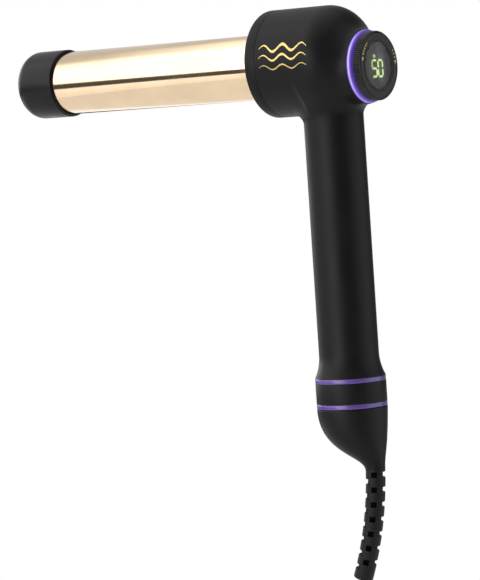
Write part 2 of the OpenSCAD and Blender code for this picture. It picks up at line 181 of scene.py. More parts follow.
class CurlingIronStage(bpy.types.PropertyGroup):
    """Camera and floor."""

    azimuth: FloatProperty(
        name="Azimuth", description="Camera's turn from the -Y side towards +X",
        default=math.radians(36.851), subtype="ANGLE")
    elevation: FloatProperty(
        name="Elevation", description="Camera's height above the level",
        default=math.radians(2.986), subtype="ANGLE")
    roll: FloatProperty(
        name="Roll", description="Camera's turn about its own axis",
        default=math.radians(-3.824), subtype="ANGLE")
    distance: FloatProperty(
        name="Distance", description="Distance from the camera to the point that it looks at",
        default=1.509, unit="LENGTH")
    target: FloatVectorProperty(
        name="Target", description="Point that the camera looks at", subtype="XYZ", size=3,
        default=(-0.06345, 0.0, -0.02429))
    lens: FloatProperty(
        name="Lens", description="Focal length in millimetres", default=188.12)
    floor_drop: FloatProperty(
        name="Floor drop", description="Depth of the floor below the handle's middle",
        default=0.30, unit="LENGTH")
    floor_radius: FloatProperty(
        name="Floor radius", description="Radius of the round floor", default=0.74, unit="LENGTH")


class CurlingIronSettings(bpy.types.PropertyGroup):
    """All the settings of the curling iron."""

    housing: PointerProperty(type=CurlingIronHousing)
    dial: PointerProperty(type=CurlingIronDial)
    boot: PointerProperty(type=CurlingIronBoot)
    colours: PointerProperty(type=CurlingIronColours)
    stage: PointerProperty(type=CurlingIronStage)


def settings():
    return bpy.context.scene.curling_iron


# ---- Node helpers and shared effect groups ----


def add_node(tree, kind, values=None, **options):
    """A node of a kind, with its options and its input values set."""
    node = tree.nodes.new(kind)
    for name, value in options.items():
        setattr(node, name, value)
    for name, value in (values or {}).items():
        node.inputs[name].default_value = value
    return node


def start_group(name, inputs, outputs):
    """An empty shader group with named value inputs and outputs, and its two end nodes."""
    group = bpy.data.node_groups.new(name, "ShaderNodeTree")
    for label, value in inputs.items():
        group.interface.new_socket(label, in_out="INPUT", socket_type="NodeSocketFloat").default_value = value
    for label in outputs:
        group.interface.new_socket(label, in_out="OUTPUT", socket_type="NodeSocketFloat")
    return group, add_node(group, "NodeGroupInput"), add_node(group, "NodeGroupOutput")


def object_noise(tree, scale, detail, stretch=(1, 1, 1), roughness=0.55):
    """Noise on object coordinates, stretched along the axes."""
    place = add_node(tree, "ShaderNodeTexCoord")
    mapping = add_node(tree, "ShaderNodeMapping", {"Scale": stretch})
    noise = add_node(tree, "ShaderNodeTexNoise", {"Scale": scale, "Detail": detail, "Roughness": roughness})
    tree.links.new(place.outputs["Object"], mapping.inputs["Vector"])
    tree.links.new(mapping.outputs["Vector"], noise.inputs["Vector"])
    return noise


def value_range(tree, source, low, high, to_low, to_high):
    """A value mapped from one range to another."""
    mapped = add_node(tree, "ShaderNodeMapRange", {
        "From Min": low, "From Max": high, "To Min": to_low, "To Max": to_high})
    tree.links.new(source, mapped.inputs["Value"])
    return mapped.outputs["Result"]


def arithmetic(tree, operation, first, second):
    """Two terms, each an output or a number, put through a Math node."""
    node = add_node(tree, "ShaderNodeMath", operation=operation)
    for socket, term in zip(node.inputs, (first, second)):
        if isinstance(term, bpy.types.NodeSocket):
            tree.links.new(term, socket)
        else:
            socket.default_value = term
    return node.outputs["Value"]


def grain_group():
    """Fine moulded grain: a height, and a mask that varies the gloss."""
    group, given, result = start_group("moulded_grain", {"Scale": 2500.0, "Patch": 60.0}, ("Height", "Gloss"))
    fine = object_noise(group, 1.0, 3.0)
    group.links.new(given.outputs["Scale"], fine.inputs["Scale"])
    patch = object_noise(group, 1.0, 4.0)
    group.links.new(given.outputs["Patch"], patch.inputs["Scale"])
    group.links.new(fine.outputs["Fac"], result.inputs["Height"])
    group.links.new(value_range(group, patch.outputs["Fac"], 0.3, 0.7, 0, 1), result.inputs["Gloss"])
    return group


def wear_and_sheen_group():
    """Edges rubbed by handling, lightened partly as wear and partly as a painted sheen: a mask that is high
    along sharp edges and broken up by noise.
    """
    group, given, result = start_group("edge_wear_and_sheen", {"Width": 0.0006, "Break": 400.0}, ("Mask",))
    rounded = add_node(group, "ShaderNodeBevel", samples=4)
    group.links.new(given.outputs["Width"], rounded.inputs["Radius"])
    facing = add_node(group, "ShaderNodeNewGeometry")
    dot = add_node(group, "ShaderNodeVectorMath", operation="DOT_PRODUCT")
    group.links.new(rounded.outputs["Normal"], dot.inputs[0])
    group.links.new(facing.outputs["Normal"], dot.inputs[1])
    edge = value_range(group, dot.outputs["Value"], 0.995, 0.90, 0, 1)
    noise = object_noise(group, 1.0, 4.0)
    group.links.new(given.outputs["Break"], noise.inputs["Scale"])
    patchy = value_range(group, noise.outputs["Fac"], 0.35, 0.6, 0, 1)
    group.links.new(arithmetic(group, "MULTIPLY", edge, patchy), result.inputs["Mask"])
    return group


def dust_group():
    """Sparse specks of dust and lint, as a mask."""
    group, given, result = start_group("dust_specks", {"Scale": 900.0, "Amount": 0.05}, ("Mask",))
    place = add_node(group, "ShaderNodeTexCoord")
    specks = add_node(group, "ShaderNodeTexVoronoi", feature="F1")
    group.links.new(place.outputs["Object"], specks.inputs["Vector"])
    group.links.new(given.outputs["Scale"], specks.inputs["Scale"])
    near = arithmetic(group, "LESS_THAN", specks.outputs["Distance"], given.outputs["Amount"])
    group.links.new(near, result.inputs["Mask"])
    return group


def brushed_group():
    """Fine lines round a turned or drawn surface: a height, and a mask of slow tonal change."""
    group, given, result = start_group("turned_lines", {"Scale": 300.0, "Smudge": 25.0}, ("Height", "Smudge"))
    lines = object_noise(group, 1.0, 2.0, stretch=(18, 0.6, 0.6))
    group.links.new(given.outputs["Scale"], lines.inputs["Scale"])
    smudge = object_noise(group, 1.0, 5.0, roughness=0.65)
    group.links.new(given.outputs["Smudge"], smudge.inputs["Scale"])
    group.links.new(lines.outputs["Fac"], result.inputs["Height"])
    group.links.new(value_range(group, smudge.outputs["Fac"], 0.42, 0.72, 0, 1), result.inputs["Smudge"])
    return group


EFFECTS = {}


def effect(tree, name, values):
    """One of the shared groups, placed in a material with its own values."""
    builders = {"grain": grain_group, "wear_and_sheen": wear_and_sheen_group, "dust": dust_group, "brushed": brushed_group}
    if name not in EFFECTS:
        EFFECTS[name] = builders[name]()
    node = add_node(tree, "ShaderNodeGroup")
    node.node_tree = EFFECTS[name]
    for label, value in values.items():
        node.inputs[label].default_value = value
    return node


def mix_colours(tree, mask, first, second):
    """Two colours mixed by a mask; either may be a colour or an output."""
    mix = add_node(tree, "ShaderNodeMix", data_type="RGBA")
    tree.links.new(mask, mix.inputs["Factor"])
    for label, colour in (("A", first), ("B", second)):
        socket = [s for s in mix.inputs if s.name == label and s.type == "RGBA"][0]
        if isinstance(colour, bpy.types.NodeSocket):
            tree.links.new(colour, socket)
        else:
            socket.default_value = (*colour, 1)
    return [s for s in mix.outputs if s.type == "RGBA"][0]


def add_bump(tree, shader, height, distance):
    """A bump from a height to the shader's normal."""
    bump = add_node(tree, "ShaderNodeBump", {"Strength": 1.0, "Distance": distance})
    tree.links.new(height, bump.inputs["Height"])
    tree.links.new(bump.outputs["Normal"], shader.inputs["Normal"])


# ---- Finishes ----


def new_material(name, **uniform):
    """A material with a Principled shader whose uniform values are set on its sockets."""
    material = bpy.data.materials.new(name)
    material.use_nodes = True
    tree = material.node_tree
    shader = tree.nodes["Principled BSDF"]
    for label, value in uniform.items():
        shader.inputs[label.replace("_", " ")].default_value = value
    return material, tree, shader


def lighter(colour, factor):
    return tuple(min(1.0, c * factor) for c in colour)


def moulded(name, colour, roughness, grain_scale=2500.0, grain_depth=0.004 * MM, worn_and_sheen=1.6, dusty=True,
            **uniform):
    """Moulded plastic, rubber or ceramic: grain, uneven gloss, rubbed edges lightened partly as wear and
    partly as painted sheen, and a little dust.
    """
    material, tree, shader = new_material(name, **uniform)
    grain = effect(tree, "grain", {"Scale": grain_scale})
    wear_and_sheen = effect(tree, "wear_and_sheen", {})
    tone = mix_colours(tree, grain.outputs["Gloss"], lighter(colour, 0.9), lighter(colour, 1.12))
    # Sharp edges lightened: rubbed wear, and partly a painted highlight along them.
    tone = mix_colours(tree, wear_and_sheen.outputs["Mask"], tone, lighter(colour, worn_and_sheen))
    if dusty:
        dust = effect(tree, "dust", {})
        tone = mix_colours(tree, dust.outputs["Mask"], tone, lighter(colour, 2.2))
    tree.links.new(tone, shader.inputs["Base Color"])
    gloss = value_range(tree, grain.outputs["Gloss"], 0, 1, roughness - 0.04, roughness + 0.05)
    tree.links.new(gloss, shader.inputs["Roughness"])
    add_bump(tree, shader, grain.outputs["Height"], grain_depth)
    return material


def metal(name, colour, roughness, lines=300.0, depth=0.001 * MM, **uniform):
    """Turned, drawn or plated metal: fine lines, slow smudges, and rubbed edges lightened partly as wear and
    partly as painted sheen.
    """
    material, tree, shader = new_material(name, Metallic=1.0, **uniform)
    brushed = effect(tree, "brushed", {"Scale": lines})
    tone = mix_colours(tree, brushed.outputs["Smudge"], colour, lighter(colour, 0.88))
    wear_and_sheen = effect(tree, "wear_and_sheen", {"Width": 0.0004})
    # Sharp edges lightened: rubbed wear, and partly a painted highlight along them.
    tone = mix_colours(tree, wear_and_sheen.outputs["Mask"], tone, lighter(colour, 1.15))
    tree.links.new(tone, shader.inputs["Base Color"])
    rough = value_range(tree, brushed.outputs["Smudge"], 0, 1, roughness, roughness + 0.07)
    tree.links.new(rough, shader.inputs["Roughness"])
    add_bump(tree, shader, brushed.outputs["Height"], depth)
    return material


def soft_touch():
    return moulded("soft_touch_black", settings().colours.soft_black, 0.44, Specular_IOR_Level=0.17)


def tip_plastic():
    return moulded("heat_resistant_black", (0.004, 0.004, 0.0045), 0.34, 1800.0, 0.003 * MM,
                   Specular_IOR_Level=0.22)


def gold_coating():
    """Mirror-bright gold over the barrel, with faint drawn lines and handling smudges."""
    return metal("gold_barrel_coating", settings().colours.gold, 0.07, 260.0, 0.0003 * MM)


def accent_plastic():
    return moulded("accent_purple", settings().colours.purple, 0.28, 1500.0, 0.002 * MM, 1.4,
                   Coat_Weight=0.35, Coat_Roughness=0.15)


def dial_plastic():
    return moulded("dial_black", (0.009, 0.009, 0.0095), 0.38, 2200.0, 0.003 * MM, 2.6,
                   Specular_IOR_Level=0.3)


def flex_rubber():
    return moulded("flexible_rubber", (0.006, 0.006, 0.006), 0.5, 1600.0, 0.006 * MM, 1.8,
                   Specular_IOR_Level=0.2)


def window_painted_shade():
    """Near-black, almost matt rubber laid on the flex windows' sunk faces as painted shade for the shadow
    inside them.
    """
    return moulded("window_painted_shade", (0.0015, 0.0015, 0.0015), 0.8, 1600.0, 0.004 * MM, 1.2, False,
                   Specular_IOR_Level=0.05)


def light_guide():
    """Milky purple ring lit from inside, with a painted highlight: a bright line round its rim painted into
    the glow, made uneven round the ring by noise.
    """
    glow = settings().colours.glow
    material, tree, shader = new_material("lit_light_guide", Roughness=0.2, Emission_Strength=1.0)
    grain = effect(tree, "grain", {"Scale": 700.0, "Patch": 160.0})
    tree.links.new(mix_colours(tree, grain.outputs["Gloss"], lighter(glow, 0.3), lighter(glow, 0.4)),
                   shader.inputs["Base Color"])
    place = add_node(tree, "ShaderNodeTexCoord")
    split = add_node(tree, "ShaderNodeSeparateXYZ")
    tree.links.new(place.outputs["Object"], split.inputs["Vector"])
    # Painted highlight: a narrow band across X near the rim, brightened in the ring's own glow.
    painted_highlight_x = box("light_ring")[1].x - 1.3 * MM
    behind, ahead = 1.0 * MM, 1.1 * MM
    rear = value_range(tree, split.outputs["X"], painted_highlight_x - behind, painted_highlight_x, 0, 1)
    front = value_range(tree, split.outputs["X"], painted_highlight_x, painted_highlight_x + ahead, 1, 0)
    highlight_breakup = value_range(tree, object_noise(tree, 75.0, 1.0).outputs["Fac"], 0.36, 0.58, 0.25, 1.0)
    painted_highlight_mask = rear
    for part in (rear, front, front, highlight_breakup):
        painted_highlight_mask = arithmetic(tree, "MULTIPLY", painted_highlight_mask, part)
    # The ring's own purple glow, turned pale lilac along the painted highlight.
    lit = mix_colours(tree, painted_highlight_mask, lighter(glow, 0.28), (0.72, 0.58, 1.0))
    tree.links.new(lit, shader.inputs["Emission Color"])
    return material


def smoked_lens():
    """Smoked clear plastic with faint smudges."""
    material, tree, shader = new_material("smoked_lens", IOR=1.46, Transmission_Weight=1.0)
    smudge = object_noise(tree, 120.0, 4.0)
    tree.links.new(mix_colours(tree, value_range(tree, smudge.outputs["Fac"], 0.3, 0.7, 0, 1),
                               (0.62, 0.62, 0.64), (0.70, 0.70, 0.72)), shader.inputs["Base Color"])
    tree.links.new(value_range(tree, smudge.outputs["Fac"], 0.4, 0.7, 0.04, 0.14), shader.inputs["Roughness"])
    return material


def display_glass():
    """The dark face of the display, with its faint cell lines."""
    material, tree, shader = new_material("display_face", Roughness=0.2, Specular_IOR_Level=0.5)
    place = add_node(tree, "ShaderNodeTexCoord")
    cells = add_node(tree, "ShaderNodeTexWave", {"Scale": 260.0, "Distortion": 0.4}, wave_type="BANDS")
    cells.bands_direction = "Y"
    tree.links.new(place.outputs["Object"], cells.inputs["Vector"])
    tree.links.new(mix_colours(tree, cells.outputs["Fac"], (0.016, 0.017, 0.018), (0.034, 0.036, 0.038)),
                   shader.inputs["Base Color"])
    return material


def lit_digits():
    digits = settings().colours.digits
    material, tree, shader = new_material("lit_digits", Roughness=0.4, Emission_Strength=1.7)
    flicker = object_noise(tree, 900.0, 2.0)
    lit = mix_colours(tree, value_range(tree, flicker.outputs["Fac"], 0.3, 0.7, 0, 1),
                      lighter(digits, 0.85), lighter(digits, 1.1))
    tree.links.new(lit, shader.inputs["Emission Color"])
    tree.links.new(lit, shader.inputs["Base Color"])
    return material


def printed_gold():
    material, tree, shader = new_material("printed_gold", Metallic=0.75, Roughness=0.38)
    ink = object_noise(tree, 1400.0, 3.0)
    colour = settings().colours.print_gold
    tree.links.new(mix_colours(tree, value_range(tree, ink.outputs["Fac"], 0.35, 0.65, 0, 1),
                               lighter(colour, 0.85), lighter(colour, 1.25)), shader.inputs["Base Color"])
    add_bump(tree, shader, ink.outputs["Fac"], 0.003 * MM)
    return material


def circuit_board():
    """Solder mask over traces, with a slight weave from the glass cloth."""
    material, tree, shader = new_material(
        "circuit_board", Roughness=0.35, Coat_Weight=0.4, Coat_Roughness=0.2)
    place = add_node(tree, "ShaderNodeTexCoord")
    traces = add_node(tree, "ShaderNodeTexBrick", {
        "Scale": 180.0, "Mortar Size": 0.09, "Mortar Smooth": 0.1, "Color1": (0.012, 0.12, 0.045, 1),
        "Color2": (0.015, 0.14, 0.055, 1), "Mortar": (0.03, 0.25, 0.10, 1)})
    swap = add_node(tree, "ShaderNodeMapping", {"Rotation": (math.pi / 2, 0, math.pi / 2)})
    tree.links.new(place.outputs["Object"], swap.inputs["Vector"])
    tree.links.new(swap.outputs["Vector"], traces.inputs["Vector"])
    tree.links.new(traces.outputs["Color"], shader.inputs["Base Color"])
    add_bump(tree, shader, traces.outputs["Fac"], 0.02 * MM)
    return material


def inner_finishes():
    """The finish of each material slot that only carried-over nodes use."""
    return {
        "ceramic_white": moulded("white_ceramic", (0.76, 0.73, 0.67), 0.35, 900.0, worn_and_sheen=1.1, dusty=False),
        "aluminium": metal("machined_aluminium", (0.72, 0.73, 0.75), 0.3, 500.0, 0.004 * MM),
        "steel": metal("plated_steel", (0.56, 0.57, 0.58), 0.28, 600.0, 0.002 * MM),
        "brass": metal("bare_brass", (0.72, 0.52, 0.22), 0.27, 600.0, 0.002 * MM),
        "ivory_nylon": moulded("ivory_nylon", (0.62, 0.57, 0.43), 0.5, 1200.0, worn_and_sheen=1.1, dusty=False),
        "mica": moulded("mica_sheet", (0.42, 0.33, 0.21), 0.45, 500.0, 0.02 * MM, 1.3, False),
        "board": circuit_board(),
        "black_part": moulded("component_black", (0.02, 0.02, 0.02), 0.5, 1500.0, worn_and_sheen=1.8, dusty=False),
        "winding": moulded("winding_tape", (0.50, 0.29, 0.04), 0.42, 700.0, 0.01 * MM, 1.2, False),
        "capacitor_blue": moulded("capacitor_sleeve", (0.02, 0.04, 0.20), 0.25, 900.0, worn_and_sheen=1.3, dusty=False),
        "wire_red": moulded("wire_red", (0.42, 0.02, 0.015), 0.4, 1500.0, worn_and_sheen=1.2, dusty=False),
        "wire_blue": moulded("wire_blue", (0.02, 0.06, 0.32), 0.4, 1500.0, worn_and_sheen=1.2, dusty=False),
        "led_white": moulded("led_clear", (0.8, 0.8, 0.86), 0.2, 600.0, worn_and_sheen=1.0, dusty=False),
    }


FINISHES = {}


def finish(name):
    """A finish by name, made the first time that it is asked for."""
    makers = {
        "soft_touch": soft_touch, "tip_plastic": tip_plastic, "gold": gold_coating, "purple": accent_plastic,
        "dial": dial_plastic, "rubber": flex_rubber, "light": light_guide, "lens": smoked_lens,
        "display": display_glass, "digits": lit_digits, "print": printed_gold, "window_shade": window_painted_shade,
    }
    if name not in FINISHES:
        FINISHES[name] = makers[name]()
    return FINISHES[name]


# ---- Mesh helpers ----


SHARP_ANGLE = math.radians(32)


def make_piece(name, bm, finish_name, body, replaced=()):
    """A finished mesh as a piece that rides on a body."""
    mesh = bpy.data.meshes.new(name)
    bm.to_mesh(mesh)
    bm.free()
    mesh.materials.append(finish(finish_name))
    mesh.shade_smooth()
    mesh.set_sharp_from_angle(angle=SHARP_ANGLE)
    piece = bpy.data.objects.new(name, mesh)
    bpy.context.scene.collection.objects.link(piece)
    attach(piece, body)
    if replaced:
        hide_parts(*replaced)
    return piece


def close_up(bm):
    """Doubles merged and faces turned outwards."""
    bmesh.ops.remove_doubles(bm, verts=bm.verts, dist=0.0005 * MM)
    bmesh.ops.recalc_face_normals(bm, faces=bm.faces)


def soften(bm, width, segments=3, least=math.radians(28)):
    """Sharp edges rounded by a bevel."""
    edges = [e for e in bm.edges if len(e.link_faces) == 2 and e.calc_face_angle() > least]
    bmesh.ops.bevel(bm, geom=edges, offset=width, affect="EDGES", segments=segments, profile=0.5, material=-1,
                    clamp_overlap=True)


def turned(outline, centre, axis="X", steps=SIDES):
    """A closed outline of (along, radius) points spun round an axis through a centre."""
    along = Vector((1, 0, 0)) if axis == "X" else Vector((0, 0, 1))
    across = Vector((0, -1, 0))
    bm = bmesh.new()
    verts = [bm.verts.new(centre + along * a + across * r) for a, r in outline]
    edges = [bm.edges.new((verts[i - 1], verts[i])) for i in range(len(verts))]
    bmesh.ops.spin(bm, geom=verts + edges, cent=centre, axis=along, angle=2 * math.pi, steps=steps,
                   use_merge=True, use_duplicate=False)
    close_up(bm)
    return bm


def arc(along, radius, d_along, d_radius, steps=10):
    """A quarter of an ellipse from (along, radius), first straight on, then in towards the axis."""
    return [(along + d_along * math.sin(math.pi / 2 * i / steps),
             radius - d_radius * (1 - math.cos(math.pi / 2 * i / steps))) for i in range(steps + 1)]


def ring_edges(verts):
    ring = set(verts)
    return [e for e in {e for v in verts for e in v.link_edges} if e.verts[0] in ring and e.verts[1] in ring]


def loft(bm, rings, sides=SIDES, loop=False):
    """Circles joined in order, into a loop or capped at both ends; each ring is a (matrix, radius) pair."""
    circles = [bmesh.ops.create_circle(bm, radius=r, segments=sides, matrix=m)["verts"] for m, r in rings]
    pairs = list(zip(circles, circles[1:]))
    if loop:
        pairs.append((circles[-1], circles[0]))
    edges = [ring_edges(c) for c in circles]
    index = {id(c): e for c, e in zip(circles, edges)}
    for first, second in pairs:
        bmesh.ops.bridge_loops(bm, edges=index[id(first)] + index[id(second)])
    if not loop:
        for circle in (circles[0], circles[-1]):
            bm.faces.new(circle)
    bmesh.ops.recalc_face_normals(bm, faces=bm.faces)
    return circles


# ---- Housing ----


def round_union(first, second, radius):
    """Two distance fields joined with a round inside corner."""
    a = np.maximum(radius - first, 0)
    b = np.maximum(radius - second, 0)
    return np.maximum(radius, np.minimum(first, second)) - np.hypot(a, b)


def housing_field(points):
    """Distance from points to the housing's smooth outside, negative inside."""
    s = settings().housing
    head = middle("nose_ring")
    head_radius = radius_across("nose_ring")
    foot = box("left_shell")[0].z
    dial = middle("dial_ring")
    pad_end = box("left_shell")[1].x
    x, y, z = points.T
    reach = head_radius - s.dome_flat
    from_axis = np.maximum(np.hypot(y, z - head.z) - s.dome_flat, 0) / reach
    back = np.maximum(x - s.dome_start, 0) / s.dome_length
    dome = (np.hypot(from_axis, back) - 1) * reach
    up = np.clip((z - foot) / s.flare_height, 0, 1)
    flare = (radius_across("handle_collar") - s.handle_radius) * (1 - up) ** 2
    handle = np.maximum(np.hypot(x, y) - s.handle_radius - flare, z - head.z)
    slope = np.clip(1 - x / pad_end, -0.5, 1.2)
    pad = np.maximum(np.hypot(y, z - dial.z) - s.pad_rim - (s.pad_root - s.pad_rim) * slope, -x - 2 * MM)
    return round_union(round_union(dome, handle, s.corner), pad, s.pad_corner)


def housing_slope(points):
    """How fast the housing's distance field grows along each axis at each point."""
    step = 0.02 * MM
    return np.stack([(housing_field(points + step * axis) - housing_field(points - step * axis)) / (2 * step)
                     for axis in np.eye(3)], axis=1)


def onto_housing(points, lift=0.0, rounds=6):
    """Points moved along the field's slope until they lie on the housing, or lifted off it."""
    for _ in range(rounds):
        value = housing_field(points) - lift
        slope = housing_slope(points)
        points = points - slope * (value / np.maximum((slope ** 2).sum(axis=1), 0.25))[:, None]
    return points


def vertex_array(bm):
    return np.array([v.co for v in bm.verts])


def place_vertices(bm, points):
    for vert, point in zip(bm.verts, points):
        vert.co = point


def applied(mesh, add_modifier):
    """A mesh with one modifier applied."""
    carrier = bpy.data.objects.new("carrier", mesh)
    bpy.context.scene.collection.objects.link(carrier)
    add_modifier(carrier)
    graph = bpy.context.evaluated_depsgraph_get()
    result = bpy.data.meshes.new_from_object(carrier.evaluated_get(graph))
    bpy.data.objects.remove(carrier)
    return result


def cylinder(bm, centre, axis, radius, length, sides=64):
    """A capped cylinder about its centre, along a direction."""
    turn = Vector((0, 0, 1)).rotation_difference(Vector(axis)).to_matrix().to_4x4()
    bmesh.ops.create_cone(bm, cap_ends=True, segments=sides, radius1=radius, radius2=radius, depth=length,
                          matrix=Matrix.Translation(centre) @ turn)


def housing_skin():
    """The housing's smooth outside as an open mesh, relaxed onto its field."""
    s = settings().housing
    head = middle("nose_ring")
    radius = radius_across("nose_ring")
    dial = middle("dial_ring")
    foot = box("left_shell")[0].z
    pad_end = box("left_shell")[1].x
    bm = bmesh.new()
    front = box("nose_ring")[0].x
    dome_end = s.dome_start + s.dome_length * 0.7
    cylinder(bm, ((front + dome_end) / 2, 0, head.z), (1, 0, 0), radius - MM, dome_end - front)
    spread = 8 * MM
    cylinder(bm, (0, 0, (foot - spread + head.z) / 2), (0, 0, 1), s.handle_radius, head.z - foot + spread)
    cylinder(bm, (pad_end / 2, 0, dial.z), (1, 0, 0), s.pad_rim, pad_end + spread)
    rough = bpy.data.meshes.new("rough")
    bm.to_mesh(rough)
    bm.free()

    def remesh(carrier):
        modifier = carrier.modifiers.new("remesh", "REMESH")
        modifier.mode = "VOXEL"
        modifier.voxel_size = s.grain

    bm = bmesh.new()
    bm.from_mesh(applied(rough, remesh))
    for _ in range(8):
        bmesh.ops.smooth_vert(bm, verts=bm.verts, factor=0.5, use_axis_x=True, use_axis_y=True,
                              use_axis_z=True)
        place_vertices(bm, onto_housing(vertex_array(bm), rounds=2))
    place_vertices(bm, onto_housing(vertex_array(bm)))
    return bm


def cut(bm, point, normal):
    """What lies on the normal's side of a plane removed."""
    bmesh.ops.bisect_plane(bm, geom=bm.verts[:] + bm.edges[:] + bm.faces[:], dist=0.001 * MM, plane_co=point,
                           plane_no=normal, clear_outer=True)


RECESS_RADIUS = 2.8 * MM
RECESS_FLOOR = 6 * MM
BOSS_WALL = 0.9 * MM
BOSS_FLOOR = 1.5 * MM
SCREW_HOLE = 1.5 * MM
SCREW_REACH = 6 * MM


def screw_sites():
    """Places of the housing screws, as (x, z): their heads are the node's separate round faces."""
    points = np.array([v.co for v in frame["nodes"]["housing_screws"].data.vertices])
    left = points[:, 2].copy()
    sites = []
    while len(left):
        near = np.abs(points[:, 2] - left.min()) < SCREW_REACH
        sites.append((points[near, 0].mean(), (points[near, 2].min() + points[near, 2].max()) / 2))
        left = left[left > left.min() + SCREW_REACH]
    return sites


def surface_y(x, z):
    """How far out the housing's surface lies on the +Y side of a point."""
    low, high = 0.0, 40 * MM
    for _ in range(24):
        mid = (low + high) / 2
        inside = housing_field(np.array([[x, mid, z]]))[0] < 0
        low, high = (mid, high) if inside else (low, mid)
    return low


def screw_boss(bm, x, z):
    """A tube from the shell's wall down to the screw's seat, with a floor that the screw passes through."""
    shape = bmesh.new()
    outer = RECESS_RADIUS + BOSS_WALL
    under = RECESS_FLOOR - BOSS_FLOOR
    rings = [(SCREW_HOLE, RECESS_FLOOR), (RECESS_RADIUS, RECESS_FLOOR), (RECESS_RADIUS, None), (outer, None),
             (outer, under), (SCREW_HOLE, under)]
    turn = Matrix.Rotation(-math.pi / 2, 4, "X")
    rough_height = 10 * MM
    places = [(Matrix.Translation((x, y or rough_height, z)) @ turn, r) for r, y in rings]
    circles = loft(shape, places, sides=48, loop=True)
    sunk = 1.2 * MM
    for circle in circles[2:4]:
        for vert in circle:
            vert.co.y = surface_y(vert.co.x, vert.co.z) - sunk
    carried = bpy.data.meshes.new("boss")
    shape.to_mesh(carried)
    shape.free()
    bm.from_mesh(carried)


def with_recesses(bm):
    """The right shell's mesh with its screw recesses cut through the wall and lined by bosses."""
    body = bpy.data.meshes.new("body")
    bm.to_mesh(body)
    bm.free()
    tools = bmesh.new()
    for x, z in screw_sites():
        cylinder(tools, (x, 22 * MM, z), (0, 1, 0), RECESS_RADIUS, 28 * MM, 48)
    tool_mesh = bpy.data.meshes.new("tools")
    tools.to_mesh(tool_mesh)
    tools.free()
    tool = bpy.data.objects.new("tools", tool_mesh)
    bpy.context.scene.collection.objects.link(tool)

    def subtract(carrier):
        modifier = carrier.modifiers.new("recesses", "BOOLEAN")
        modifier.operation = "DIFFERENCE"
        modifier.solver = "EXACT"
        modifier.object = tool

    bm = bmesh.new()
    bm.from_mesh(applied(body, subtract))
    bpy.data.objects.remove(tool)
    for x, z in screw_sites():
        screw_boss(bm, x, z)
    return bm


def build_shell(side, skin):
    """One shell: the skin cut at the seam, the pad, the foot and the split plane, with its wall and edges."""
    bm = skin.copy()
    low, high = box("left_shell")
    half_gap = 0.03 * MM
    cut(bm, (low.x + half_gap, 0, 0), (-1, 0, 0))
    cut(bm, (high.x, 0, 0), (1, 0, 0))
    cut(bm, (0, 0, low.z), (0, 0, -1))
    cut(bm, (0, side * half_gap, 0), (0, -side, 0))
    bmesh.ops.recalc_face_normals(bm, faces=bm.faces)
    from_axis = Vector((1, 1, 0))
    if sum(f.normal.dot(f.calc_center_median() * from_axis) for f in bm.faces) < 0:
        bmesh.ops.reverse_faces(bm, faces=bm.faces)
    bmesh.ops.solidify(bm, geom=bm.faces[:], thickness=settings().housing.wall)
    return bm


class CURLING_IRON_OT_shells(bpy.types.Operator):
    """Make the two housing shells, with their blended corners and screw recesses"""

    bl_idname = "curling_iron.shells"
    bl_label = "Housing Shells"

    def execute(self, context):
        skin = housing_skin()
        left = build_shell(-1, skin)
        right = with_recesses(build_shell(1, skin))
        skin.free()
        make_piece("shell_left", left, "soft_touch", "housing", ("left_shell",))
        make_piece("shell_right", right, "soft_touch", "housing", ("right_shell",))
        return {"FINISHED"}


class CURLING_IRON_OT_nose(bpy.types.Operator):
    """Make the ring that closes the head round the barrel"""

    bl_idname = "curling_iron.nose"
    bl_label = "Nose Ring"

    def execute(self, context):
        low = box("nose_ring")[0]
        head = middle("nose_ring")
        barrel = middle("barrel")
        radius = radius_across("nose_ring")
        hole = radius_across("barrel") + 0.5 * MM
        seam = box("left_shell")[0].x - 0.12 * MM
        edge = 1.1 * MM
        turn = Matrix.Rotation(math.pi / 2, 4, "Y")
        corner = [(low.x + edge - da, r) for da, r in arc(0, radius, edge, edge, 6)]
        rounded = [(seam, radius - 0.25 * MM, head.z), (seam - 0.08 * MM, radius - 0.07 * MM, head.z),
                   (seam - 0.25 * MM, radius, head.z)] + [(x, r, head.z) for x, r in corner]
        lip = low.x + 2.4 * MM
        hollow = hole + 2.9 * MM
        inner = [(low.x, hole + 0.3 * MM, barrel.z), (low.x + 0.1 * MM, hole + 0.08 * MM, barrel.z),
                 (low.x + 0.3 * MM, hole, barrel.z), (lip, hole, barrel.z),
                 (lip + 0.1 * MM, hollow, barrel.z), (seam, hollow, barrel.z)]
        bm = bmesh.new()
        loft(bm, [(Matrix.Translation((x, 0, z)) @ turn, r) for x, r, z in rounded + inner], loop=True)
        make_piece("nose_band", bm, "soft_touch", "housing", ("nose_ring",))
        return {"FINISHED"}


# ---- Barrel and tip ----


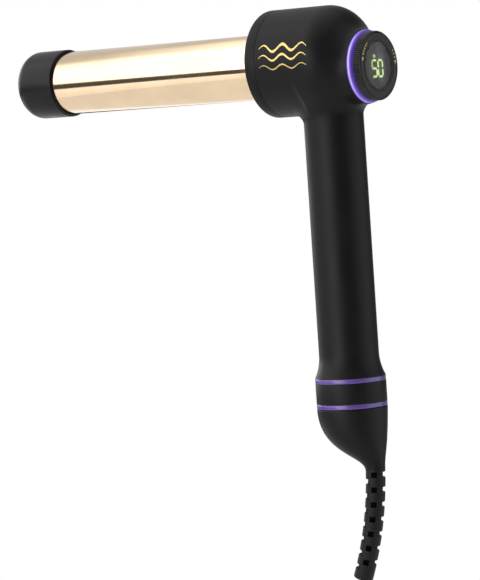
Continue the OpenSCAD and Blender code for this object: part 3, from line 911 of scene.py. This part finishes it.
class CURLING_IRON_OT_barrel(bpy.types.Operator):
    """Make the gold barrel and its cool tip"""

    bl_idname = "curling_iron.barrel"
    bl_label = "Barrel and Cool Tip"

    def execute(self, context):
        low, high = box("barrel")
        radius = radius_across("barrel")
        wall = 0.8 * MM
        centre = Vector((0, 0, middle("barrel").z))
        tube = turned([(low.x, radius - wall), (low.x, radius), (high.x, radius), (high.x, radius - wall)],
                      centre, steps=192)
        soften(tube, 0.15 * MM)
        make_piece("barrel_tube", tube, "gold", "housing", ("barrel",))
        tip_low, tip_high = box("cool_tip")
        tip_radius = radius_across("cool_tip")
        round_length = 8.8 * MM
        round_depth = 10.6 * MM
        end = arc(tip_low.x + round_length, tip_radius, -round_length, round_depth, 24)
        seat = tip_high.x - 3.4 * MM
        socket = radius + 0.03 * MM
        outline = [(seat, 0), (seat, socket), (tip_high.x, socket), (tip_high.x, tip_radius - 0.75 * MM),
                   (tip_high.x - 0.7 * MM, tip_radius)] + end + [(tip_low.x, 0)]
        tip = turned(outline, centre)
        soften(tip, 0.3 * MM, least=math.radians(24))
        make_piece("tip_cap", tip, "tip_plastic", "housing", ("cool_tip",))
        return {"FINISHED"}


# ---- Dial and display ----


def dial_centre():
    return Vector((0, 0, middle("dial_ring").z))


def knurled_ring():
    """The dial ring with rounded ridges round its rim and a skirt that reaches back to the encoder."""
    s = settings().dial
    low, high = box("dial_ring")
    rim = high.x - 4.2 * MM
    radius = radius_across("dial_ring")
    valley = radius - s.ridge_depth
    bore, skirt, cup = 12.65 * MM, 13.5 * MM, 16.0 * MM
    web = rim + 1.4 * MM
    outline = [(low.x, bore), (low.x, skirt), (rim, skirt), (rim, valley - 0.5 * MM),
               (rim + 0.3 * MM, valley), (rim + 0.55 * MM, radius), (high.x - 0.55 * MM, radius),
               (high.x - 0.3 * MM, valley), (high.x, valley - 0.12 * MM), (high.x, cup), (web, cup),
               (web, bore)]
    per_ridge = 6
    bm = turned(outline, dial_centre(), steps=s.ridges * per_ridge)
    z = dial_centre().z
    shape = (0.0, 0.35, 1.0, 1.0, 0.35, 0.0)
    for vert in bm.verts:
        y, up = vert.co.y, vert.co.z - z
        if math.hypot(y, up) > radius - 0.02 * MM:
            step = round(math.atan2(up, y) / (2 * math.pi) * s.ridges * per_ridge)
            scale = 1 - s.ridge_depth * shape[step % per_ridge] / radius
            vert.co.y, vert.co.z = y * scale, z + up * scale
    return bm


def face_point(angle, radius, x):
    """A point on the dial's face: angle from +Y towards +Z."""
    return Vector((x, radius * math.cos(angle), dial_centre().z + radius * math.sin(angle)))


def flat_mark(bm, corners, depth):
    """A thin raised mark from its corners, which go anticlockwise seen from +X."""
    face = bm.faces.new([bm.verts.new(c) for c in corners])
    base = bmesh.ops.extrude_face_region(bm, geom=[face])
    raised = [v for v in base["geom"] if isinstance(v, bmesh.types.BMVert)]
    bmesh.ops.translate(bm, vec=(depth, 0, 0), verts=raised)


def arc_mark(bm, start, end, inner, outer, x, depth):
    """A raised mark on the dial's face between two angles and two radii."""
    flat_mark(bm, [face_point(start, inner, x), face_point(start, outer, x), face_point(end, outer, x),
                   face_point(end, inner, x)], depth)


def dial_marks(bm, x, depth):
    """Two arrows that point down round the face, each after a run of scale ticks that grow longer."""
    # First tick, last tick, number of ticks and arrow, as angles from +Y; the arrow's turn, +1 or -1
    runs = ((132.0, 156.0, 5, 166.0, 1), (30.0, 15.0, 3, 6.0, -1))
    tick_radius = 14.2 * MM
    tick_half_turn = math.radians(0.9)
    for first, last, count, arrow, turn in runs:
        for i in range(count):
            angle = math.radians(first + (last - first) * i / (count - 1))
            half = 0.45 * MM + 0.08 * MM * i
            arc_mark(bm, angle - tick_half_turn, angle + tick_half_turn, tick_radius - half,
                     tick_radius + half, x, depth)
        tip = math.radians(arrow + 5.0 * turn)
        base = math.radians(arrow - 3.0 * turn)
        corners = [face_point(tip, 14.1 * MM, x), face_point(base, 13.4 * MM, x),
                   face_point(base, 14.8 * MM, x)]
        if turn < 0:
            corners.reverse()
        flat_mark(bm, corners, depth)


# Which of the seven bars each digit lights: top, upper right, lower right, bottom, lower left,
# upper left and middle
LIT_BARS = {"0": "1111110", "1": "0110000", "2": "1101101", "3": "1111001", "4": "0110011",
            "5": "1011011", "6": "1011111", "7": "1110000", "8": "1111111", "9": "1111011"}


def add_digit(bm, digit, centre, height, depth):
    """A seven-bar digit: pointed bars that lie in the plane of the display."""
    half = height / 4
    width = height * 0.46
    thick = height * 0.07
    places = [((0, 2 * half), 0), ((width / 2, half), 1), ((width / 2, -half), 1), ((0, -2 * half), 0),
              ((-width / 2, -half), 1), ((-width / 2, half), 1), ((0, 0), 0)]
    for (y, z), upright in (p for p, lit in zip(places, LIT_BARS[digit]) if lit == "1"):
        reach = (half if upright else width / 2) - thick * 0.35
        shape = [(-reach, 0), (-reach + thick, -thick), (reach - thick, -thick), (reach, 0),
                 (reach - thick, thick), (-reach + thick, thick)]
        if upright:
            shape = [(-b, a) for a, b in shape]
        flat_mark(bm, [centre + Vector((0, y + a, z + b)) for a, b in shape], depth)


# How far the display's dark face and its lit bars stand in front of the module's back
PANEL_FACE = 2.98 * MM
LIT_FACE = 3.0 * MM
LIT_DEPTH = 0.08 * MM


def display_reading():
    """The display's number, a little left of and below its middle, with a small degree ring above it."""
    s = settings().dial
    x = box("display_module")[0].x + LIT_FACE
    left, down = 2.4 * MM, 1.3 * MM
    centre = Vector((x, -left, dial_centre().z - down))
    bm = bmesh.new()
    count = len(s.reading)
    for i, digit in enumerate(s.reading):
        shift = Vector((0, (i - (count - 1) / 2) * s.digit_pitch, 0))
        add_digit(bm, digit, centre + shift, s.digit_height, LIT_DEPTH)
    degree = centre + Vector((0, 0.2 * MM, 5.7 * MM))
    inner, outer = 0.4 * MM, 0.75 * MM
    steps = 12
    for i in range(steps):
        a, b = (2 * math.pi * k / steps for k in (i, i + 1))
        flat_mark(bm, [degree + Vector((0, r * math.cos(t), r * math.sin(t)))
                       for r, t in ((inner, a), (outer, a), (outer, b), (inner, b))], LIT_DEPTH)
    bmesh.ops.remove_doubles(bm, verts=bm.verts, dist=0.001 * MM)
    return bm


class CURLING_IRON_OT_dial(bpy.types.Operator):
    """Make the knurled dial, the light ring, the printed face, the window and the display"""

    bl_idname = "curling_iron.dial"
    bl_label = "Dial and Display"

    def execute(self, context):
        centre = dial_centre()
        make_piece("dial_grip_ring", knurled_ring(), "dial", "dial", ("dial_ring",))
        low, high = box("light_ring")
        rim = radius_across("light_ring")
        bore, flange, neck = 13.8 * MM, 16.9 * MM, 16.15 * MM
        rim_back = high.x - 2.3 * MM
        light = turned([(low.x, bore), (low.x, flange), (low.x + 1.3 * MM, flange), (low.x + 1.4 * MM, neck),
                        (rim_back, neck), (rim_back, rim)]
                       + arc(high.x - 1.4 * MM, rim, 1.4 * MM, 1.2 * MM, 8) + [(high.x, bore)], centre)
        make_piece("glow_ring", light, "light", "housing", ("light_ring",))
        low, high = box("dial_face")
        window = radius_across("display_lens") + 0.05 * MM
        edge = 15.8 * MM
        chamfer = 0.3 * MM
        ledge = high.x - 0.35 * MM
        face = turned([(low.x, window), (low.x, edge), (high.x - chamfer, edge), (high.x, edge - chamfer),
                       (high.x, window + 0.9 * MM), (ledge, window + 0.75 * MM), (ledge, window)], centre)
        soften(face, 0.08 * MM, 2)
        make_piece("dial_face_plate", face, "dial", "housing", ("dial_face",))
        marks = bmesh.new()
        dial_marks(marks, high.x - 0.01 * MM, 0.04 * MM)
        make_piece("dial_marks", marks, "print", "housing")
        low, high = box("display_lens")
        pane = window - 0.05 * MM
        lens = turned([(low.x, 0), (low.x, pane), (high.x, pane), (high.x, 0)], centre)
        soften(lens, 0.12 * MM, 2)
        make_piece("window_lens", lens, "lens", "housing", ("display_lens",))
        low, high = box("display_module")
        case = window - 0.15 * MM
        front = high.x - 0.1 * MM
        panel = low.x + PANEL_FACE
        module = turned([(low.x, 0), (low.x, case), (front, case), (front, window - 0.2 * MM),
                         (panel, window - 0.22 * MM), (panel, 0)], centre)
        make_piece("display_panel", module, "display", "housing", ("display_module",))
        make_piece("display_reading", display_reading(), "digits", "housing")
        return {"FINISHED"}


# ---- Ornament ----


def wave_strip(bm, start, end, height, swing, waves, thick):
    """A wavy strip drawn on the XZ plane, as a row of quads that one edge is extruded along."""
    def at(t):
        x = start + (end - start) * t
        taper = 0.25 + 0.75 * math.sin(math.pi * t)
        z = height + swing * math.sin(2 * math.pi * waves * t)
        return x, z, thick / 2 * taper

    steps = 72
    x, z, half = at(0)
    edge = bm.edges.new((bm.verts.new((x, 0, z - half)), bm.verts.new((x, 0, z + half))))
    for i in range(1, steps + 1):
        x, z, half = at(i / steps)
        grown = bmesh.ops.extrude_edge_only(bm, edges=[edge])["geom"]
        edge = [g for g in grown if isinstance(g, bmesh.types.BMEdge) and edge not in g.link_faces][0]
        low, high = sorted((v for v in grown if isinstance(v, bmesh.types.BMVert)), key=lambda v: v.co.z)
        low.co, high.co = (x, 0, z - half), (x, 0, z + half)
        edge = bm.edges.get((low, high))


class CURLING_IRON_OT_ornament(bpy.types.Operator):
    """Print three plain gold waves on the near side of the head"""

    bl_idname = "curling_iron.ornament"
    bl_label = "Head Ornament"

    def execute(self, context):
        head = middle("nose_ring")
        start = box("left_shell")[0].x + 2.6 * MM
        end = 4.2 * MM
        bm = bmesh.new()
        top, row_drop, waves = 7.2, 4.6, 2.5
        for row, (thick, swing) in enumerate(((1.5, 1.7), (1.1, 1.4), (0.7, 1.1))):
            wave_strip(bm, start, end, head.z + (top - row_drop * row) * MM, swing * MM, waves, thick * MM)
        radius = radius_across("nose_ring")
        for vert in bm.verts:
            angle = (vert.co.z - head.z) / radius
            vert.co.y = -radius * math.cos(angle)
            vert.co.z = head.z + radius * math.sin(angle)
        place_vertices(bm, onto_housing(vertex_array(bm), lift=0.02 * MM))
        for face in bm.faces:
            face.normal_update()
        if sum(f.normal.y for f in bm.faces) > 0:
            bmesh.ops.reverse_faces(bm, faces=bm.faces)
        make_piece("head_ornament", bm, "print", "housing")
        return {"FINISHED"}


# ---- Collar, boot and strain relief ----


class CURLING_IRON_OT_collar(bpy.types.Operator):
    """Make the two accent rings and the band between them"""

    bl_idname = "curling_iron.collar"
    bl_label = "Collar and Accent Rings"

    def execute(self, context):
        for node in ("accent_ring_upper", "accent_ring_lower"):
            low, high = box(node)
            radius = radius_across(node)
            bore = 12.3 * MM
            ring = turned([(low.z, bore), (low.z, radius), (high.z, radius), (high.z, bore)], Vector(), "Z")
            soften(ring, 0.22 * MM)
            make_piece(node + "_trim", ring, "purple", "housing", (node,))
        low, high = box("handle_collar")
        top = box("accent_ring_upper")[0].z
        bottom = box("accent_ring_lower")[1].z
        radius = radius_across("handle_collar")
        spigot = 12.1 * MM
        bore = 5.05 * MM
        band = turned([(low.z, bore), (low.z, spigot), (bottom, spigot), (bottom, radius), (top, radius),
                       (top, spigot), (high.z, spigot), (high.z, bore)], Vector(), "Z")
        soften(band, 0.18 * MM)
        make_piece("collar_band", band, "soft_touch", "housing", ("handle_collar",))
        return {"FINISHED"}


def bezier(a, b, c, d, t):
    return a * (1 - t) ** 3 + 3 * b * t * (1 - t) ** 2 + 3 * c * t * t * (1 - t) + d * t ** 3


# The boot's height curve: its two middle control points, as shares of the height
BOOT_CURVE = (0.723, 0.755)


def boot_section(t):
    """Height, middle and radius of the boot's round section, from its top (0) to its foot (1)."""
    s = settings().boot
    low, high = box("swivel_boot")
    top = high.x
    heel = s.relief_offset - s.relief_radius
    inner = bezier(-top, -top, heel, heel, t)
    foot = s.relief_offset + s.relief_radius
    outer = foot + (top - foot) * (1 - t) ** 3
    height = high.z - bezier(0, *BOOT_CURVE, 1, t) * (high.z - low.z)
    return height, (inner + outer) / 2, (outer - inner) / 2


# The strain relief's lengths along its bend: the boot's socket, the plain neck, the pitch of like windows
# and the plain end
SOCKET_DEPTH = 7.4 * MM
SOCKET_PLAY = 0.15 * MM
NECK = 7.65 * MM
WINDOW_PITCH = 7.2 * MM
WINDOW_ROWS = 14
WINDOW_SHARE = 0.76
PLAIN_END = 3.5 * MM
TAIL = 9.0 * MM
CORD_RADIUS = 3.1 * MM
CORD_BORE = 6 * MM
# Each row's windows: middle and half width, in degrees round the relief from its outer side
OPENINGS = ((-62, 18), (37, 48))


def bend_centre():
    """The centre of the strain relief's bend."""
    s = settings().boot
    return Vector((s.relief_offset + SOCKET_PLAY - s.bend_radius, 0, box("swivel_boot")[0].z + SOCKET_DEPTH))


def relief_station(angle):
    """The strain relief's section at an angle along its bend, as a matrix with its circle across the bend."""
    place = bend_centre() + Vector((math.cos(angle), 0, -math.sin(angle))) * settings().boot.bend_radius
    return Matrix.Translation(place) @ Matrix.Rotation(angle, 4, "Y")


def relief_polar(point):
    """Angle along the bend, turn about the relief's axis and distance from the axis."""
    away = point - bend_centre()
    arm = math.hypot(away.x, away.z) - settings().boot.bend_radius
    return math.atan2(-away.z, away.x), math.atan2(away.y, arm), math.hypot(arm, away.y)


def window_faces(bm, first, last, middle_turn, half_turn):
    """The outer faces of one flex window, by angle along the bend and turn about the axis."""
    surface = settings().boot.relief_radius - 0.3 * MM
    faces = []
    for face in bm.faces:
        angle, around, reach = relief_polar(face.calc_center_median())
        off = (around - middle_turn + math.pi) % (2 * math.pi) - math.pi
        if reach > surface and abs(off) < half_turn and first < angle < last:
            faces.append(face)
    return faces


def sink_window(bm, faces):
    """A flex window's faces sunk into the relief, with painted shade (near-black rubber) on the sunk faces.
    """
    depth = settings().boot.window_depth
    sunk = bmesh.ops.extrude_face_region(bm, geom=faces)["geom"]
    # Slot 1 on the sunk faces: near-black painted shade for the window's inside.
    for floor in (g for g in sunk if isinstance(g, bmesh.types.BMFace)):
        floor.material_index = 1
    bmesh.ops.delete(bm, geom=faces, context="FACES")
    for vert in (g for g in sunk if isinstance(g, bmesh.types.BMVert)):
        angle, around, reach = relief_polar(vert.co)
        inside = reach - depth
        vert.co = relief_station(angle) @ Vector((inside * math.cos(around), inside * math.sin(around), 0))


def relief_mesh():
    """The strain relief: a bent tube with rows of flex windows, each row turned from the one before."""
    s = settings().boot
    row_step = WINDOW_PITCH / s.bend_radius / 2
    clear_of_neck = 0.0014
    lead = NECK / s.bend_radius + clear_of_neck
    end = lead + WINDOW_ROWS * row_step + PLAIN_END / s.bend_radius
    stations = [lead - TAIL / s.bend_radius, lead - 0.002]
    for row in range(WINDOW_ROWS):
        first = lead + row * row_step
        stations += [first, first + row_step * WINDOW_SHARE * 0.5, first + row_step * WINDOW_SHARE * 0.999]
    stations += [lead + WINDOW_ROWS * row_step, end]
    outer = [(relief_station(a), s.relief_radius) for a in stations]
    outer[0] = (outer[0][0], s.relief_radius - 1.3 * MM)
    bore = [(relief_station(a), CORD_RADIUS) for a in (end, end - CORD_BORE / s.bend_radius, stations[0])]
    bm = bmesh.new()
    loft(bm, outer + bore, 48, loop=True)
    for row in range(WINDOW_ROWS):
        first = lead + row * row_step
        for centre, half in OPENINGS:
            turn = math.radians(centre + 180 * (row % 2))
            last = first + row_step * WINDOW_SHARE
            sink_window(bm, window_faces(bm, first, last, turn, math.radians(half)))
    bmesh.ops.recalc_face_normals(bm, faces=bm.faces)
    return bm


class CURLING_IRON_OT_boot(bpy.types.Operator):
    """Make the swivel boot and the bent strain relief"""

    bl_idname = "curling_iron.boot"
    bl_label = "Swivel Boot and Strain Relief"

    def execute(self, context):
        rings = 56
        bm = bmesh.new()
        places = []
        for i in range(rings + 1):
            height, mid, radius = boot_section(i / rings)
            places.append((Matrix.Translation((mid, 0, height)), radius))
        loft(bm, places)
        soften(bm, 0.25 * MM, 2, least=math.radians(50))
        make_piece("boot_shell", bm, "soft_touch", "swivel", ("swivel_boot",))
        relief = make_piece("flex_relief", relief_mesh(), "rubber", "swivel", ("strain_relief",))
        # Slot 1: the near-black painted shade of the flex windows.
        relief.data.materials.append(finish("window_shade"))
        rounding = relief.modifiers.new("rounding", "BEVEL")
        rounding.width = 0.16 * MM
        rounding.segments = 2
        rounding.limit_method = "ANGLE"
        rounding.angle_limit = math.radians(35)
        return {"FINISHED"}


# ---- Carried-over nodes ----


class CURLING_IRON_OT_inner_parts(bpy.types.Operator):
    """Give every node that keeps its own shape the finish of its material slot"""

    bl_idname = "curling_iron.inner_parts"
    bl_label = "Inner Parts"

    def execute(self, context):
        finishes = inner_finishes()
        finishes.update({"dial_black": finish("dial"), "soft_touch": finish("soft_touch"),
                         "rubber": finish("rubber")})
        slots = {part["node"]: part["material_slot"] for part in frame["record"]["subparts"]}
        for name, node in frame["nodes"].items():
            if node.hide_render:
                continue
            for place in node.material_slots:
                place.material = finishes[slots[name]]
        return {"FINISHED"}


# ---- Stage ----


def direction(azimuth, elevation):
    """The direction towards a place round the object: azimuth 0 is -Y and 90 is +X."""
    return Vector((math.sin(azimuth) * math.cos(elevation), -math.cos(azimuth) * math.cos(elevation),
                   math.sin(elevation)))


# Soft light panels: azimuth and elevation in degrees, half width from full to faded in degrees, and strength
PANELS = ((-4.0, 0.0, 8.0, 27.0, 4.2), (-40.0, 28.0, 18.0, 46.0, 1.9), (118.0, 5.0, 12.0, 45.0, 1.6),
          (0.0, 88.0, 15.0, 52.0, 1.4), (-104.0, 4.0, 6.0, 27.0, 2.4))
# The room's light by height: sine of the elevation, and strength
ROOM = ((-1.0, 1.2), (-0.72, 1.25), (-0.40, 1.5), (-0.26, 1.7), (-0.05, 1.0), (0.10, 0.9), (0.55, 0.85),
        (1.0, 0.8))
# The room's own light falls off across X to this share, and the dark gap beyond the tip starts and ends here
FAR_SHARE = 0.12
GAP_BELOW = (-0.25, -0.225)
GAP_ABOVE = (-0.03, -0.01)
GAP_BEYOND = (-0.25, -0.45)
GAP_DARKNESS = 0.95


def room_light(world):
    """A pale room: brighter panels where softboxes stand, and a dark gap at table height beyond the tip."""
    tree = world.node_tree
    tree.nodes.clear()
    place = add_node(tree, "ShaderNodeTexCoord")
    split = add_node(tree, "ShaderNodeSeparateXYZ")
    tree.links.new(place.outputs["Generated"], split.inputs["Vector"])
    ramp = add_node(tree, "ShaderNodeValToRGB")
    tree.links.new(value_range(tree, split.outputs["Z"], -1, 1, 0, 1), ramp.inputs["Fac"])
    stops = ramp.color_ramp.elements
    while len(stops) < len(ROOM):
        stops.new(0.5)
    for stop, (height, strength) in zip(stops, ROOM):
        stop.position = (height + 1) / 2
        stop.color = (strength, strength, strength, 1)
    fall_off = value_range(tree, split.outputs["X"], -0.5, 0.0, 1, FAR_SHARE)
    total = arithmetic(tree, "MULTIPLY", ramp.outputs["Color"], fall_off)
    for azimuth, elevation, inner, outer, strength in PANELS:
        facing = add_node(tree, "ShaderNodeVectorMath", operation="DOT_PRODUCT")
        tree.links.new(place.outputs["Generated"], facing.inputs[0])
        facing.inputs[1].default_value = direction(math.radians(azimuth), math.radians(elevation))
        lit = add_node(tree, "ShaderNodeMapRange", {
            "From Min": math.cos(math.radians(outer)), "From Max": math.cos(math.radians(inner)),
            "To Min": 0.0, "To Max": strength}, interpolation_type="SMOOTHSTEP")
        tree.links.new(facing.outputs["Value"], lit.inputs["Value"])
        total = arithmetic(tree, "ADD", total, lit.outputs["Result"])
    above_floor = value_range(tree, split.outputs["Z"], *GAP_BELOW, 0, 1)
    below_top = value_range(tree, split.outputs["Z"], *GAP_ABOVE, 1, 0)
    beyond = value_range(tree, split.outputs["X"], *GAP_BEYOND, 0, GAP_DARKNESS)
    gap = arithmetic(tree, "MULTIPLY", arithmetic(tree, "MULTIPLY", above_floor, below_top), beyond)
    total = arithmetic(tree, "MULTIPLY", total, arithmetic(tree, "SUBTRACT", 1.0, gap))
    room = add_node(tree, "ShaderNodeBackground")
    tree.links.new(total, room.inputs["Strength"])
    plain = add_node(tree, "ShaderNodeBackground", {"Color": (1, 1, 1, 1), "Strength": 1.0})
    rays = add_node(tree, "ShaderNodeLightPath")
    mixed = add_node(tree, "ShaderNodeMixShader")
    tree.links.new(rays.outputs["Is Camera Ray"], mixed.inputs["Fac"])
    tree.links.new(room.outputs["Background"], mixed.inputs[1])
    tree.links.new(plain.outputs["Background"], mixed.inputs[2])
    out = add_node(tree, "ShaderNodeOutputWorld")
    tree.links.new(mixed.outputs["Shader"], out.inputs["Surface"])


def pale_floor():
    """A round pale floor below the object, with a faint mottle."""
    s = settings().stage
    bm = bmesh.new()
    bmesh.ops.create_circle(bm, cap_ends=True, radius=s.floor_radius, segments=96,
                            matrix=Matrix.Translation((0, 0, -s.floor_drop)))
    mesh = bpy.data.meshes.new("floor")
    bm.to_mesh(mesh)
    bm.free()
    material, tree, shader = new_material("pale_floor", Roughness=0.8)
    mottle = object_noise(tree, 6.0, 4.0)
    tree.links.new(mix_colours(tree, mottle.outputs["Fac"], (0.86, 0.86, 0.86), (0.9, 0.9, 0.9)),
                   shader.inputs["Base Color"])
    mesh.materials.append(material)
    floor = bpy.data.objects.new("floor", mesh)
    bpy.context.scene.collection.objects.link(floor)


class CURLING_IRON_OT_stage(bpy.types.Operator):
    """Make the floor, the room's soft light and the camera"""

    bl_idname = "curling_iron.stage"
    bl_label = "Stage"

    def execute(self, context):
        s = settings().stage
        scene = context.scene
        scene.view_settings.view_transform = "Standard"
        world = bpy.data.worlds.new("studio")
        world.use_nodes = True
        scene.world = world
        room_light(world)
        pale_floor()
        back = direction(s.azimuth, s.elevation)
        data = bpy.data.cameras.new("camera")
        data.lens = s.lens
        data.sensor_width = 36
        camera = bpy.data.objects.new("camera", data)
        camera.rotation_mode = "QUATERNION"
        camera.location = Vector(s.target) + back * s.distance
        roll = Matrix.Rotation(s.roll, 3, "Z").to_quaternion()
        camera.rotation_quaternion = (-back).to_track_quat("-Z", "Y") @ roll
        scene.collection.objects.link(camera)
        scene.camera = camera
        return {"FINISHED"}


# ---- Panel and registration ----


class CURLING_IRON_PT_panel(bpy.types.Panel):
    """Sidebar panel with the settings and one button for each step"""

    bl_idname = "CURLING_IRON_PT_panel"
    bl_label = "Curling Iron"
    bl_space_type = "VIEW_3D"
    bl_region_type = "UI"
    bl_category = "Curling Iron"

    def draw(self, context):
        for step in STEPS:
            self.layout.operator(step.bl_idname)
        s = settings()
        for group in (s.housing, s.dial, s.boot, s.colours, s.stage):
            column = self.layout.box()
            for label in group.bl_rna.properties.keys():
                if label not in {"rna_type", "name"}:
                    column.prop(group, label)


STEPS = (
    CURLING_IRON_OT_shells, CURLING_IRON_OT_nose, CURLING_IRON_OT_barrel, CURLING_IRON_OT_dial,
    CURLING_IRON_OT_ornament, CURLING_IRON_OT_collar, CURLING_IRON_OT_boot, CURLING_IRON_OT_inner_parts,
    CURLING_IRON_OT_stage,
)
CLASSES = (
    CurlingIronHousing, CurlingIronDial, CurlingIronBoot, CurlingIronColours, CurlingIronStage,
    CurlingIronSettings, *STEPS, CURLING_IRON_PT_panel,
)


def register():
    for cls in CLASSES:
        bpy.utils.register_class(cls)
    bpy.types.Scene.curling_iron = PointerProperty(type=CurlingIronSettings)


def unregister():
    del bpy.types.Scene.curling_iron
    for cls in reversed(CLASSES):
        bpy.utils.unregister_class(cls)


def main():
    register()
    for step in STEPS:
        group, name = step.bl_idname.split(".")
        getattr(getattr(bpy.ops, group), name)()


if __name__ == "__main__":
    main()
